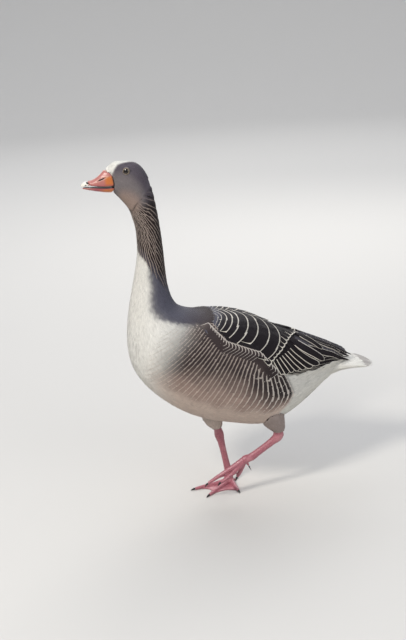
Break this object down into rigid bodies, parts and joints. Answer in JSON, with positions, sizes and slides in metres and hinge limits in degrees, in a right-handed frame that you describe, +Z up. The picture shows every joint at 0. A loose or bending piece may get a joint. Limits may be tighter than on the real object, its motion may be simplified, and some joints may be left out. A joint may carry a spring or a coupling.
{
  "type": "domestic goose",
  "caption": "Life-size still goose in mid-step: upright neck, grey body, dark pale-edged wings, orange-pink bill and pink webbed feet.",
  "frame": {"origin": "on the floor, under the middle of the goose's length and width", "axes": "+Z up; the goose heads along -X, so its left side faces -Y"},
  "size_m": [0.5836, 0.204, 0.7268],
  "materials": {
    "bill": "smooth horny skin, orange to pink, a soft sheen",
    "horn_pale": "pale horn with dark edges, polished by wear",
    "eye": "wet dark brown, nearly black",
    "feathers_grey": "matt grey-brown feathers",
    "feathers_neck": "matt dark brown feathers in pale-lined furrows",
    "feathers_pale": "matt cream to grey-brown feathers with pale edges",
    "feathers_dark": "nearly black vanes with cream edges",
    "feathers_white": "soft creamy white feathers",
    "leg_skin": "pink scaly skin",
    "claw": "blackish horn"
  },
  "bodies": {
    "root": {"bill_lower": "bill", "bill_nail": "horn_pale", "bill_upper": "bill", "claw_hind_left": "claw", "claw_hind_right": "claw", "claw_inner_left": "claw", "claw_inner_right": "claw", "claw_middle_left": "claw", "claw_middle_right": "claw", "claw_outer_left": "claw", "claw_outer_right": "claw", "eye_left": "eye", "eye_right": "eye", "flight_left": "feathers_dark", "flight_right": "feathers_dark", "foot_left": "leg_skin", "foot_right": "leg_skin", "head": "feathers_grey", "neck_lower": "feathers_grey", "neck_upper": "feathers_neck", "shank_left": "leg_skin", "shank_right": "leg_skin", "tail": "feathers_white", "thigh_left": "feathers_grey", "thigh_right": "feathers_grey", "trunk": "feathers_pale", "wing_left": "feathers_dark", "wing_right": "feathers_dark"}
  },
  "joints": []
}
